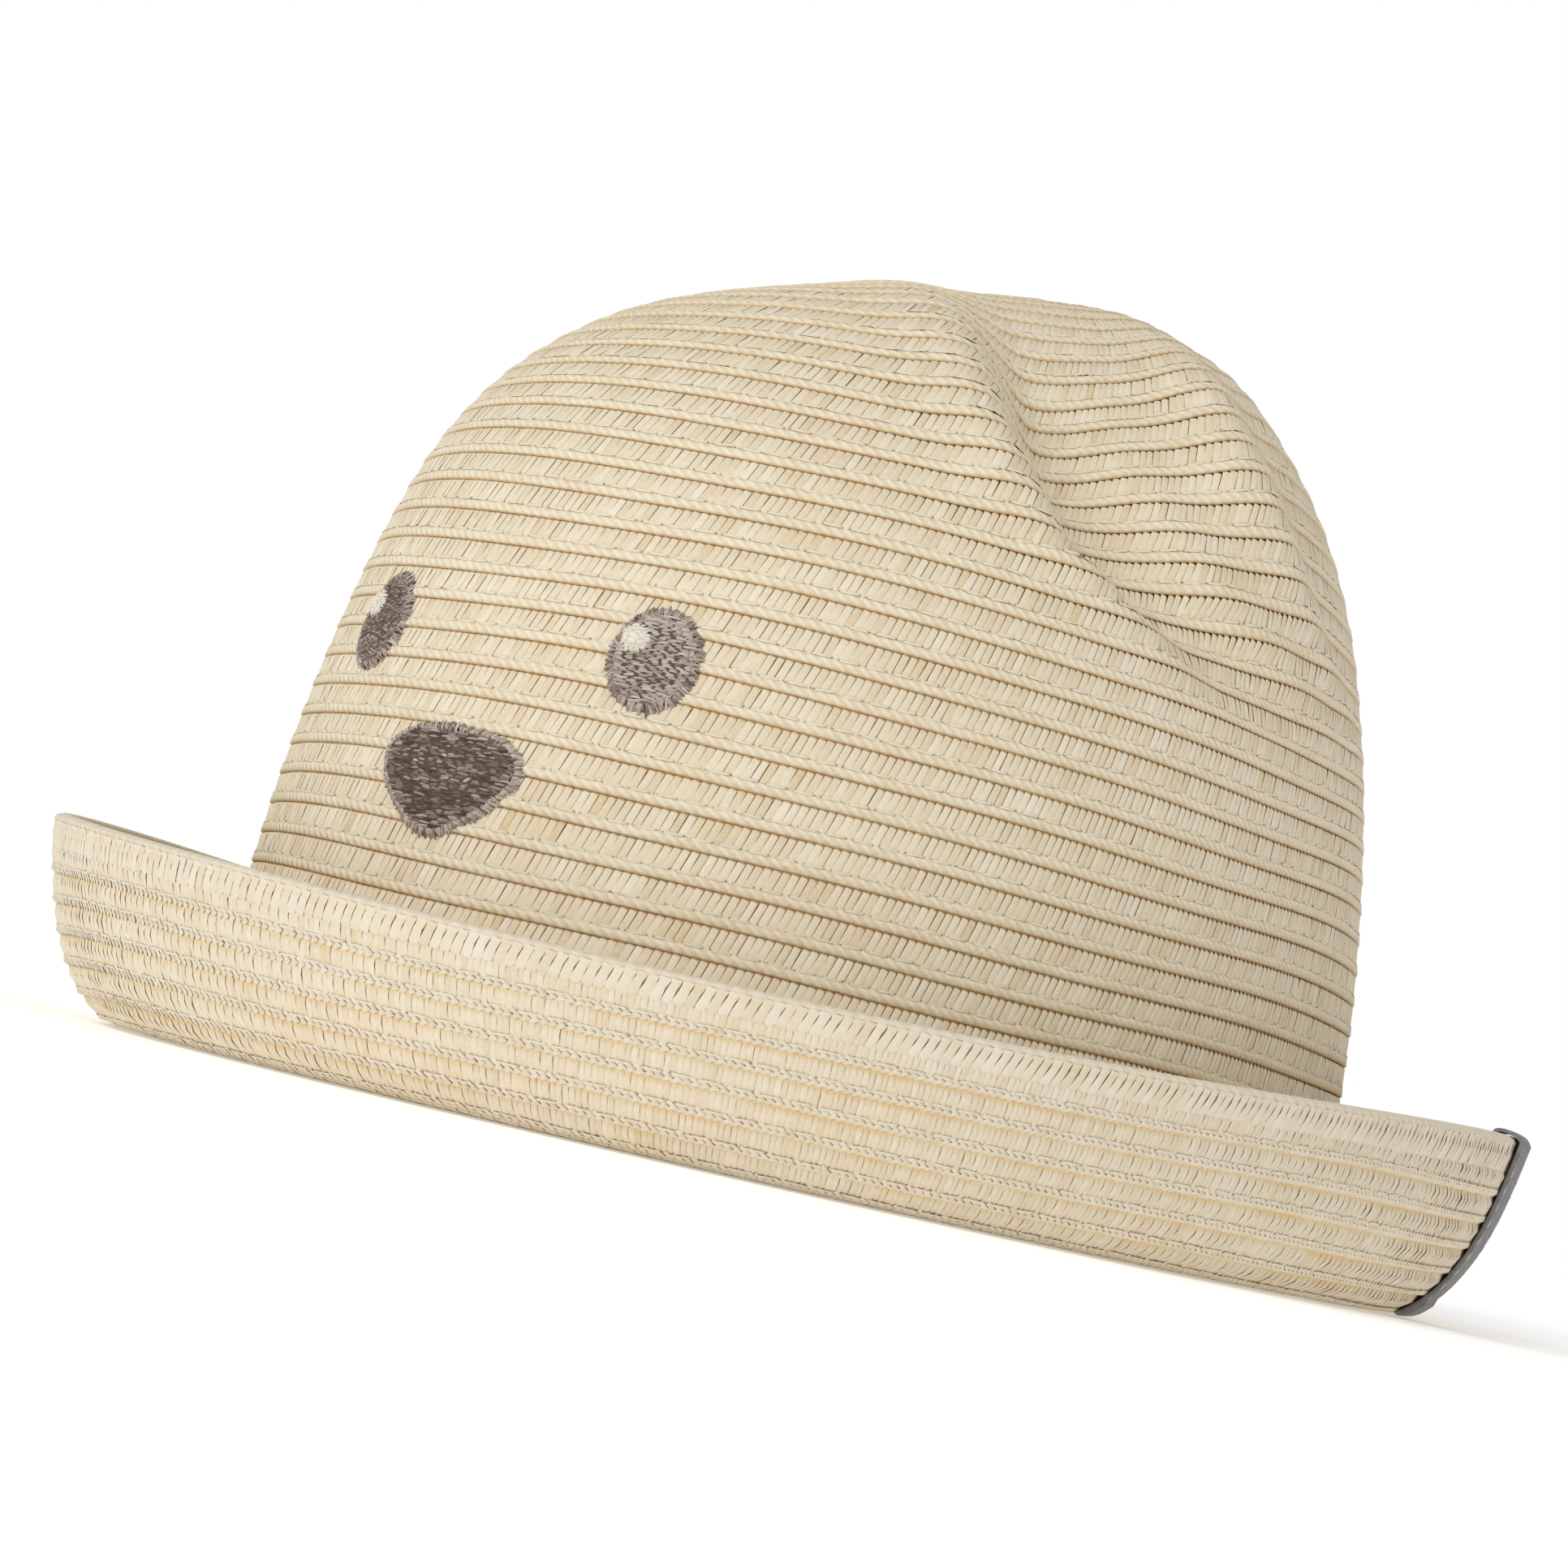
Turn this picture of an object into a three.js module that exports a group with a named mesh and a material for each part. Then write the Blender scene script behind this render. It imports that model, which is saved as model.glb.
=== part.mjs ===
// A child's sun hat of straw-coloured paper braid, sewn row on row: a dome crown with a pinched
// dent, a rolled-up brim, a grosgrain sweatband, a tape over the rim and an embroidered animal face.
// Millimetres, +Z up, the face at -Y, the origin on the floor under the middle of the hat.
import * as THREE from 'three';

// Braid, shared by crown and brim
const WALL = 2; // thickness of the sewn braid
const ROW_STEP = 0.9; // a row's free edge stands this far proud of the row beside it
const ROW_EDGE = 0.3; // length of that step along the wall
const GAP = 0.3; // clearance between pieces that are sewn together
const OVAL = 7; // the head line is longer front to back: added at the front, taken off at the sides
const OVAL_FULL_RADIUS = 87; // the oval fades out above this radius, towards the apex
const CROWN_ROWS = 38;
const PLAIN_ROWS = 3; // the first turns of the spiral, too small to show as steps
const BRIM_ROWS = 9;
const RIM_ROW = 9; // the last row shows the braid's full width
const HEAD_LINE = 9; // height at which the crown turns into the brim
const FLOOR = 0; // the roll of the brim is pressed flat where it rests

// Middle of the wall from the apex, down the crown, round the roll and up to the rim
const PROFILE = [
  { radius: 0, height: 139.5 },
  { radius: 14, height: 138.9 },
  { radius: 31, height: 136 },
  { radius: 50.5, height: 127.8 },
  { radius: 63.2, height: 116 },
  { radius: 71.8, height: 102 },
  { radius: 78, height: 84 },
  { radius: 82.2, height: 64.5 },
  { radius: 85, height: 45 },
  { radius: 86.6, height: 25 },
  { radius: 88, height: 12 },
  { radius: 90, height: 6 },
  { radius: 93.8, height: 2 },
  { radius: 98.5, height: 0.7 },
  { radius: 103.3, height: 2 },
  { radius: 107.6, height: 5.4 },
  { radius: 111, height: 10.6 },
  { radius: 113.3, height: 16.5 },
  { radius: 114.9, height: 23 },
  { radius: 116.2, height: 30 },
];

// The rim dips at the wearer's left front and right back, where the brim flares out
const RIM_HEIGHT = 30;
const RIM_MEAN = 27;
const RIM_SWING = 3;
const RIM_HIGH_AT = 120; // degrees from the front towards the wearer's left
const RIM_FLARE = 0.65; // outward shift of the rim for each millimetre that it dips

// The soft top leans: one shoulder is a little lower than the other
const LEAN = 5.5;
const LEAN_RADIUS = 76;
const LEAN_TO = 128.5; // degrees

// Pinched dent from near the apex down the left front, a row for each height along its crease.
// The flank towards the front is short and steep, the flank towards the back long and shallow.
const DENT = [
  { height: 140, at: 46, depth: 0 },
  { height: 134, at: 50, depth: 3 },
  { height: 124, at: 53, depth: 10 },
  { height: 112, at: 56, depth: 13 },
  { height: 98, at: 63, depth: 10 },
  { height: 88, at: 76, depth: 3.5 },
  { height: 78, at: 88, depth: 0 },
];
const DENT_FRONT_FLANK = 15;
const DENT_BACK_FLANK = 34;
const DENT_RIDGE = 0.16; // height of the swollen ridge beside each flank, of the depth
const DENT_RIDGE_AT = 1.15; // where that ridge stands, of the flank's width
const DENT_RIDGE_SPREAD = 0.4;

// Facets round the hat, finer across the dent
const DENT_FROM = 20;
const DENT_TO = 100;
const DENT_FACETS = 16;
const OTHER_FACETS = 28;
const INNER_RINGS = 14;

// Sweatband, a flat ribbon sewn in by its lower edge
const BAND_BOTTOM = 8.8;
const BAND_WIDTH = 30;
const BAND_THICK = 1;
const BAND_RINGS = 3;

// Tape folded over the rim at the wearer's left
const TAPE_AT = 114.5;
const TAPE_WIDTH = 10;
const TAPE_THICK = 0.9;
const TAPE_TURN_IN = 7; // length inside the rim
const TAPE_LENGTH = 31; // length outside, down towards the roll
const TAPE_CLEAR = 0.8; // clearance inside the curve of the rim
const TAPE_STEPS = 12;

// Embroidered face: each patch is centred on the crown, with its half sizes
const STITCH_THICK = 0.8;
const EYES = { at: 16.8, height: 66.3, halfWidth: 6.9, halfHeight: 7.8 };
const GLINT = { left: 3.3, up: 2.5, radius: 2.3 };
const NOSE = { height: 44.4, halfWidth: 17, halfHeight: 8.4, taper: 0.6 };
const PATCH_SPOKES = 20;
const PATCH_CORE = 0.5; // ring of points inside each patch, of its outline

const straw = new THREE.MeshStandardMaterial({ color: 0xdccdb0, roughness: 0.75, metalness: 0 });
const paleStraw = new THREE.MeshStandardMaterial({ color: 0xe6dac2, roughness: 0.75, metalness: 0 });
const grosgrain = new THREE.MeshStandardMaterial({ color: 0xb9a589, roughness: 0.9, metalness: 0 });
const greyTape = new THREE.MeshStandardMaterial({ color: 0x6b6867, roughness: 0.9, metalness: 0 });
const darkThread = new THREE.MeshStandardMaterial({ color: 0x5a4a44, roughness: 0.8, metalness: 0 });
const ivoryThread = new THREE.MeshStandardMaterial({ color: 0xe8e4d4, roughness: 0.8, metalness: 0 });

const { degToRad, smoothstep, clamp } = THREE.MathUtils;

const profile = new THREE.CatmullRomCurve3(
  PROFILE.map(({ radius, height }) => new THREE.Vector3(radius, 0, height)),
);
profile.arcLengthDivisions = 4000;
const SEARCH_STEP = 0.01; // fineness of the searches along the profile
const fullLength = profile.getLength();
const rollLength = lengthOfLowestPoint();
const headLength = lengthAtHeight(HEAD_LINE);
const facetTurns = turnsRoundTheHat();

// Distance from the apex along the profile to a height on the crown
function lengthAtHeight(height) {
  let above = 0;
  let below = rollLength;
  while (below - above > SEARCH_STEP) {
    const middle = (above + below) / 2;
    if (profile.getPointAt(middle / fullLength).z > height) above = middle;
    else below = middle;
  }
  return above;
}

function lengthOfLowestPoint() {
  let length = fullLength;
  const heightAt = (place) => profile.getPointAt(place / fullLength).z;
  while (heightAt(length - SEARCH_STEP) < heightAt(length)) length -= SEARCH_STEP;
  return length;
}

// Angles of the facets' edges, in degrees from the front towards the wearer's left
function turnsRoundTheHat() {
  const turns = [];
  for (let i = 0; i < DENT_FACETS; i += 1) {
    turns.push(DENT_FROM + ((DENT_TO - DENT_FROM) * i) / DENT_FACETS);
  }
  const rest = 360 - (DENT_TO - DENT_FROM);
  for (let i = 0; i < OTHER_FACETS; i += 1) turns.push(DENT_TO + (rest * i) / OTHER_FACETS);
  return turns;
}

// Crease angle and depth of the dent at a height, straight lines between the rows of the table
function dentAt(height) {
  if (height >= DENT[0].height) return DENT[0];
  for (let i = 1; i < DENT.length; i += 1) {
    const upper = DENT[i - 1];
    const lower = DENT[i];
    if (height < lower.height) continue;
    const part = (upper.height - height) / (upper.height - lower.height);
    return {
      at: THREE.MathUtils.lerp(upper.at, lower.at, part),
      depth: THREE.MathUtils.lerp(upper.depth, lower.depth, part),
    };
  }
  return DENT[DENT.length - 1];
}

// How far the wall is pushed in at a place; the ridges beside the dent are pushed out
function dentDepth(turn, radius, height) {
  const crease = dentAt(height);
  const away = degToRad(turn - crease.at) * radius;
  const flank = away < 0 ? DENT_FRONT_FLANK : DENT_BACK_FLANK;
  const part = Math.abs(away) / flank;
  const valley = 1 - smoothstep(part, 0, 1);
  const ridge = Math.exp(-(((part - DENT_RIDGE_AT) / DENT_RIDGE_SPREAD) ** 2));
  return crease.depth * (valley - DENT_RIDGE * ridge);
}

// Point of the wall at a distance from the apex, turned round the hat, off its middle by some height
function wallPoint(length, turn, off) {
  const middle = profile.getPointAt(length / fullLength);
  const along = profile.getTangentAt(length / fullLength);
  const angle = degToRad(turn);
  const push = off - dentDepth(turn, middle.x, middle.z);
  let radius = middle.x - along.z * push;
  let height = middle.z + along.x * push;
  const brimPart = clamp((length - rollLength) / (fullLength - rollLength), 0, 1);
  const dip = RIM_HEIGHT - RIM_MEAN - RIM_SWING * Math.cos(2 * degToRad(turn - RIM_HIGH_AT));
  height *= 1 - (brimPart * dip) / RIM_HEIGHT;
  radius += brimPart * dip * RIM_FLARE;
  if (middle.x < LEAN_RADIUS) {
    height += LEAN * Math.sin((Math.PI * middle.x) / LEAN_RADIUS) * Math.cos(degToRad(turn - LEAN_TO));
  }
  radius += OVAL * Math.min(1, middle.x / OVAL_FULL_RADIUS) * Math.cos(2 * angle);
  return new THREE.Vector3(
    radius * Math.sin(angle),
    -radius * Math.cos(angle),
    Math.max(height, FLOOR),
  );
}

function wallRing(length, off) {
  return facetTurns.map((turn) => wallPoint(length, turn, off));
}

// Closed body over rings of equal count. It ends in two poles, or runs round to its first ring.
function bodyOverRings(rings, poles) {
  const count = rings[0].length;
  const places = rings.flat();
  const faces = [];
  const last = poles ? rings.length - 1 : rings.length;
  for (let j = 0; j < last; j += 1) {
    const here = j * count;
    const next = ((j + 1) % rings.length) * count;
    for (let i = 0; i < count; i += 1) {
      const k = (i + 1) % count;
      faces.push(here + i, next + i, next + k, here + i, next + k, here + k);
    }
  }
  if (poles) {
    const end = (rings.length - 1) * count;
    const [first, second] = [places.length, places.length + 1];
    places.push(poles[0], poles[1]);
    for (let i = 0; i < count; i += 1) {
      const k = (i + 1) % count;
      faces.push(first, i, k, end + i, second, end + k);
    }
  }
  const geometry = new THREE.BufferGeometry().setFromPoints(places);
  geometry.setIndex(faces);
  geometry.computeVertexNormals();
  return geometry;
}

// Dome of overlapping rows outside, smooth inside
function crownGeometry() {
  const pitch = headLength / CROWN_ROWS;
  const rings = [wallRing(pitch, WALL / 2), wallRing(pitch * 2, WALL / 2)];
  for (let row = PLAIN_ROWS; row < CROWN_ROWS; row += 1) {
    rings.push(wallRing(row * pitch, WALL / 2));
    rings.push(wallRing((row + 1) * pitch - ROW_EDGE, WALL / 2 + ROW_STEP));
  }
  rings.push(wallRing(headLength, WALL / 2));
  for (let i = INNER_RINGS; i > 0; i -= 1) {
    rings.push(wallRing((headLength * i) / INNER_RINGS, -WALL / 2));
  }
  return bodyOverRings(rings, [wallPoint(0, 0, WALL / 2), wallPoint(0, 0, -WALL / 2)]);
}

// Roll and turned-up wall: smooth towards the crown, overlapping rows on the face that shows
function brimGeometry() {
  const start = headLength + GAP;
  const pitch = (fullLength - RIM_ROW - start) / BRIM_ROWS;
  const rings = [];
  for (let row = 0; row <= BRIM_ROWS; row += 1) rings.push(wallRing(start + row * pitch, WALL / 2));
  rings.push(wallRing(fullLength, WALL / 2));
  rings.push(wallRing(fullLength, -WALL / 2));
  for (let row = BRIM_ROWS; row > 0; row -= 1) {
    rings.push(wallRing(start + row * pitch + ROW_EDGE, -WALL / 2 - ROW_STEP));
    rings.push(wallRing(start + row * pitch, -WALL / 2));
  }
  rings.push(wallRing(start, -WALL / 2));
  return bodyOverRings(rings, null);
}

// Ribbon that lies against the inside of the crown
function sweatbandGeometry() {
  const bottom = lengthAtHeight(BAND_BOTTOM) - GAP;
  const outside = -WALL / 2 - GAP;
  const outer = [];
  const inner = [];
  for (let i = 0; i <= BAND_RINGS; i += 1) {
    const length = bottom - BAND_WIDTH * (1 - i / BAND_RINGS);
    outer.push(wallRing(length, outside));
    inner.unshift(wallRing(length, outside - BAND_THICK));
  }
  return bodyOverRings([...outer, ...inner], null);
}

// Tape along one line of the brim: down the outside, over the rim and down the inside
function tapeGeometry() {
  const outside = -WALL / 2 - ROW_STEP - GAP;
  const inside = WALL / 2 + TAPE_CLEAR;
  const near = [];
  const far = [];
  for (let i = 0; i <= TAPE_STEPS; i += 1) {
    const length = fullLength - TAPE_LENGTH * (1 - i / TAPE_STEPS);
    near.push([length, outside]);
    far.push([length, outside - TAPE_THICK]);
  }
  near.push([fullLength, inside], [fullLength - TAPE_TURN_IN, inside]);
  far.push([fullLength, inside + TAPE_THICK], [fullLength - TAPE_TURN_IN, inside + TAPE_THICK]);
  const lift = (places, height) => places.map(([length, off], i) => {
    const point = wallPoint(length, TAPE_AT, off);
    const overRim = i === TAPE_STEPS || i === TAPE_STEPS + 1;
    return overRim ? point.setZ(point.z + height) : point;
  });
  const loop = [...lift(near, GAP), ...lift(far, GAP + TAPE_THICK).reverse()];
  const halfTurn = THREE.MathUtils.radToDeg(TAPE_WIDTH / 2 / PROFILE[PROFILE.length - 1].radius);
  const edges = [-halfTurn, halfTurn].map((turn) => wallPoint(fullLength, TAPE_AT + turn, 0));
  const across = edges[1].sub(edges[0]).normalize();
  return bodyAcross(loop, near.length, across, TAPE_WIDTH / 2);
}

// Strip whose section is a loop of points, there and back, pushed out both ways across its width
function bodyAcross(loop, half, across, reach) {
  const count = loop.length;
  const places = [-reach, reach].flatMap(
    (side) => loop.map((point) => point.clone().addScaledVector(across, side)),
  );
  const faces = [];
  for (let i = 0; i < count; i += 1) {
    const k = (i + 1) % count;
    faces.push(i, k, count + k, i, count + k, count + i);
  }
  for (let i = 0; i < half - 1; i += 1) {
    const [a, b, c, d] = [i, i + 1, count - 2 - i, count - 1 - i];
    faces.push(a, c, b, a, d, c);
    faces.push(count + a, count + b, count + c, count + a, count + c, count + d);
  }
  const geometry = new THREE.BufferGeometry().setFromPoints(places);
  geometry.setIndex(faces);
  geometry.computeVertexNormals();
  return geometry;
}

// Raised patch of stitches on the crown: an outline in millimetres right and up of its centre,
// which itself may lie right and up of a place on the hat
function patchGeometry({ at, height, toRight = 0, toUp = 0 }, outline, base) {
  const centre = lengthAtHeight(height) - toUp;
  const place = (right, up, off) => {
    const length = centre - up;
    const radius = profile.getPointAt(length / fullLength).x + OVAL;
    const turn = at + THREE.MathUtils.radToDeg((toRight + right) / radius);
    return wallPoint(length, turn, off);
  };
  const ring = (scale, off) => outline.map(([right, up]) => place(right * scale, up * scale, off));
  const top = base + STITCH_THICK;
  const rings = [ring(PATCH_CORE, top), ring(1, top), ring(1, base), ring(PATCH_CORE, base)];
  return bodyOverRings(rings, [place(0, 0, top), place(0, 0, base)]);
}

// Outline points in order, right and up, anticlockwise as seen from outside the hat
function ovalOutline(halfWidth, halfHeight, spokes) {
  return Array.from({ length: spokes }, (_, i) => {
    const angle = (2 * Math.PI * i) / spokes;
    return [halfWidth * Math.cos(angle), halfHeight * Math.sin(angle)];
  });
}

// Rounded triangle that points down: an oval whose width grows towards the top
function noseOutline() {
  return ovalOutline(1, 1, PATCH_SPOKES).map(([right, up]) => [
    NOSE.halfWidth * right * (1 - (NOSE.taper * (1 - up)) / 2),
    NOSE.halfHeight * up,
  ]);
}

const hat = new THREE.Group();

function addPiece(name, geometry, material) {
  const mesh = new THREE.Mesh(geometry, material);
  mesh.name = name;
  hat.add(mesh);
}

addPiece('crown', crownGeometry(), straw);
addPiece('brim', brimGeometry(), paleStraw);
addPiece('sweatband', sweatbandGeometry(), grosgrain);
addPiece('brim_tape', tapeGeometry(), greyTape);

const onRows = WALL / 2 + ROW_STEP + GAP;
const onStitches = onRows + STITCH_THICK + GAP;
const eyeOutline = ovalOutline(EYES.halfWidth, EYES.halfHeight, PATCH_SPOKES);
const glintOutline = ovalOutline(GLINT.radius, GLINT.radius, PATCH_SPOKES / 2);
for (const [side, name] of [[-1, 'right'], [1, 'left']]) {
  const centre = { at: side * EYES.at, height: EYES.height };
  addPiece(`eye_${name}`, patchGeometry(centre, eyeOutline, onRows), darkThread);
  const glintCentre = { ...centre, toRight: -GLINT.left, toUp: GLINT.up };
  addPiece(`eye_glint_${name}`, patchGeometry(glintCentre, glintOutline, onStitches), ivoryThread);
}
addPiece('nose', patchGeometry({ at: 0, height: NOSE.height }, noseOutline(), onRows), darkThread);

export default hat;
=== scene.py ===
import math

import bpy
import numpy as np
from mathutils import Matrix, Vector


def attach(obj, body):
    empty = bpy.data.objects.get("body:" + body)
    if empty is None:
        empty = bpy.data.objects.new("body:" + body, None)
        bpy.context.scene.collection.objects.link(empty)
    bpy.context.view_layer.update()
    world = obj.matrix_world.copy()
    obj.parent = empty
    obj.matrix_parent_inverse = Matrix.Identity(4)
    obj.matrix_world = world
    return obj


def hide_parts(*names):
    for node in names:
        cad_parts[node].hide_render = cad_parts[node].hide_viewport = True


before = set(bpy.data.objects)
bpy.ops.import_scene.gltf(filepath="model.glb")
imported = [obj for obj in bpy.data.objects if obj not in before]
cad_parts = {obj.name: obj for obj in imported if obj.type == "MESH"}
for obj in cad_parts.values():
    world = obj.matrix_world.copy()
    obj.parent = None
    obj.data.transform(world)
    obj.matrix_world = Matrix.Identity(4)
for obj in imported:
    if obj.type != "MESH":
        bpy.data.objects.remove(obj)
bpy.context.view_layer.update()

# Crown
# A dome of flat paper braid, sewn in one spiral from the apex down, each row lapped over the next
# lower one. It is soft: the top leans to one side and holds a pinched dent. Sizes are millimetres.

WALL = 2.0
CROWN_ROWS = 38
HEAD_LINE = 9.0  # height at which the crown turns into the brim
OVAL, OVAL_FULL_RADIUS = 7.0, 87.0  # longer front to back, round at the apex
LEAN, LEAN_RADIUS, LEAN_TO = 5.5, 76.0, 128.5
RIM_HEIGHT, RIM_MEAN, RIM_SWING, RIM_HIGH_AT, RIM_FLARE = 30.0, 27.0, 3.0, 120.0, 0.65
SQUEEZE = 1.2  # height under which the straw is pressed flatter by the ground

# Middle of the wall from the apex to the rim: radius, height
PROFILE = np.array([
    (0, 139.5), (14, 138.9), (31, 136), (50.5, 127.8), (63.2, 116), (71.8, 102), (78, 84),
    (82.2, 64.5), (85, 45), (86.6, 25), (88, 12), (90, 6), (93.8, 2), (98.5, 0.7), (103.3, 2),
    (107.6, 5.4), (111, 10.6), (113.3, 16.5), (114.9, 23), (116.2, 30),
])
PAST_RIM = 5.0  # the curve goes on straight, for what is folded over the rim

# Crease of the dent from the top down: height, degrees from the front, depth
DENT = np.array([
    (140, 46, 0), (134, 50, 3), (124, 53, 10), (112, 56, 13), (98, 63, 10), (88, 76, 3.5), (78, 88, 0),
])
DENT_FRONT_FLANK, DENT_BACK_FLANK = 15.0, 34.0
DENT_RIDGE, DENT_RIDGE_AT, DENT_RIDGE_SPREAD = 0.16, 1.15, 0.4
RIPPLE, RIPPLE_PITCH, RIPPLE_REACH, RIPPLE_SLANT = 0.11, 25.0, 62.0, 0.5  # folds behind the crease


def curve_through(points, per_span=120):
    """Places along a smooth curve through points, and its directions there."""
    ends = [2 * points[0] - points[1], *points, 2 * points[-1] - points[-2]]
    part = np.linspace(0, 1, per_span, endpoint=False)[:, None]
    places = []
    for before, start, stop, after in zip(ends, ends[1:], ends[2:], ends[3:]):
        painted_gaps = [np.sqrt(np.linalg.norm(b - a)) for a, b in ((before, start), (start, stop), (stop, after))]
        gap_in, gap, gap_out = painted_gaps
        leave = (start - before) / gap_in - (stop - before) / (gap_in + gap) + (stop - start) / gap
        reach = (stop - start) / gap - (after - start) / (gap + gap_out) + (after - stop) / gap_out
        leave, reach = leave * gap, reach * gap
        bend = 3 * (stop - start) - 2 * leave - reach
        twist = 2 * (start - stop) + leave + reach
        places.append(start + part * (leave + part * (bend + part * twist)))
    places = np.concatenate([*places, points[-1:]])
    ways = np.gradient(places, axis=0)
    return places, ways / np.linalg.norm(ways, axis=1, keepdims=True)


path, path_way = curve_through(PROFILE)
path_length = np.concatenate([[0], np.cumsum(np.linalg.norm(np.diff(path, axis=0), axis=1))])
full_length = path_length[-1]
roll_length = path_length[np.argmin(path[:, 1])]
crown_side = path_length <= roll_length
down_height, down_length = -path[crown_side, 1], path_length[crown_side]
path = np.vstack([path, path[-1] + PAST_RIM * path_way[-1]])
path_way = np.vstack([path_way, path_way[-1]])
path_length = np.append(path_length, full_length + PAST_RIM)


def length_at(height):
    """Distance from the apex, along the wall, to a height on the crown."""
    return float(np.interp(-height, down_height, down_length))


def radius_at(length):
    return np.interp(length, path_length, path[:, 0])


def dent_depth(turn, radius, height):
    """How far the wall is pushed in; the ridges beside the dent are pushed out."""
    crease = np.interp(-height, -DENT[:, 0], DENT[:, 1])
    depth = np.interp(-height, -DENT[:, 0], DENT[:, 2])
    away = np.radians((turn - crease + 180) % 360 - 180) * radius
    part = np.abs(away) / np.where(away < 0, DENT_FRONT_FLANK, DENT_BACK_FLANK)
    inside = np.clip(part, 0, 1)
    valley = 1 - inside * inside * (3 - 2 * inside)
    ridge = np.exp(-(((part - DENT_RIDGE_AT) / DENT_RIDGE_SPREAD) ** 2))
    behind = np.sin(np.pi * np.clip(away / RIPPLE_REACH, 0, 1)) ** 2
    ripple = behind * np.sin(2 * np.pi * (away + RIPPLE_SLANT * height) / RIPPLE_PITCH)
    return depth * (valley - DENT_RIDGE * ridge + RIPPLE * ripple)


def wall(length, turn, off):
    """Points at a length from the apex and degrees from the front, off the middle of the wall."""
    length, turn, off = np.broadcast_arrays(length, turn, off)
    middle_radius = radius_at(length)
    middle_height = np.interp(length, path_length, path[:, 1])
    way_out = np.interp(length, path_length, path_way[:, 0])
    way_up = np.interp(length, path_length, path_way[:, 1])
    push = off - dent_depth(turn, middle_radius, middle_height)
    radius = middle_radius - way_up * push
    height = middle_height + way_out * push
    brim_part = np.clip((length - roll_length) / (full_length - roll_length), 0, 1)
    dip = RIM_HEIGHT - RIM_MEAN - RIM_SWING * np.cos(2 * np.radians(turn - RIM_HIGH_AT))
    height = height * (1 - brim_part * dip / RIM_HEIGHT)
    leaning = np.sin(np.pi * np.clip(middle_radius / LEAN_RADIUS, 0, 1))
    height = height + LEAN * leaning * np.cos(np.radians(turn - LEAN_TO))
    angle = np.radians(turn)
    oval = OVAL * np.minimum(1, middle_radius / OVAL_FULL_RADIUS) * np.cos(2 * angle)
    radius = radius + brim_part * dip * RIM_FLARE + oval
    pressed = SQUEEZE * np.exp(np.minimum(height / SQUEEZE - 1, 0))
    height = np.maximum(height, pressed)
    return np.stack([radius * np.sin(angle), -radius * np.cos(angle), height], -1)


def linear(colour):
    """Blender's linear colour of an sRGB hex value."""
    parts = [int(colour[i:i + 2], 16) / 255 for i in (1, 3, 5)]
    return [p / 12.92 if p <= 0.04045 else ((p + 0.055) / 1.055) ** 2.4 for p in parts] + [1.0]


def node(tree, kind, settings=None, **inputs):
    """Adds a node. An input is a value, another node for its first output, or any output; it goes by
    its name with _ for a space, or by its number after an i. The setting stops fills a colour ramp."""
    made = tree.nodes.new(kind)
    for name, value in (settings or {}).items():
        if name != "stops":
            setattr(made, name, value)
            continue
        points = made.color_ramp.elements
        while len(points) < len(value):
            points.new(0.5)
        for point, (place, colour) in zip(points, value):
            point.position = place
            point.color = linear(colour)
    for name, value in inputs.items():
        key = int(name[1:]) if name[1:].isdigit() else name.replace("_", " ")
        if isinstance(value, bpy.types.Node):
            value = value.outputs[0]
        if isinstance(value, bpy.types.NodeSocket):
            tree.links.new(value, made.inputs[key])
        else:
            made.inputs[key].default_value = value
    return made


def new_material(name):
    material = bpy.data.materials.new(name)
    material.use_nodes = True
    material.node_tree.nodes.clear()
    return material, material.node_tree


FIBRE, PATCH = 0.6, 20.0  # paper fibres, drawn coarser than real so that they show, and stains
FIBRE_TONE, PATCH_TONE, RIDGE_PAINTED_SHADE = 0.45, 0.15, 0.13  # how far each shifts the shade
FIBRE_HEIGHT, RIDGE_RELIEF = 0.25, 0.8
SUM = {"operation": "MULTIPLY_ADD"}


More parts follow.
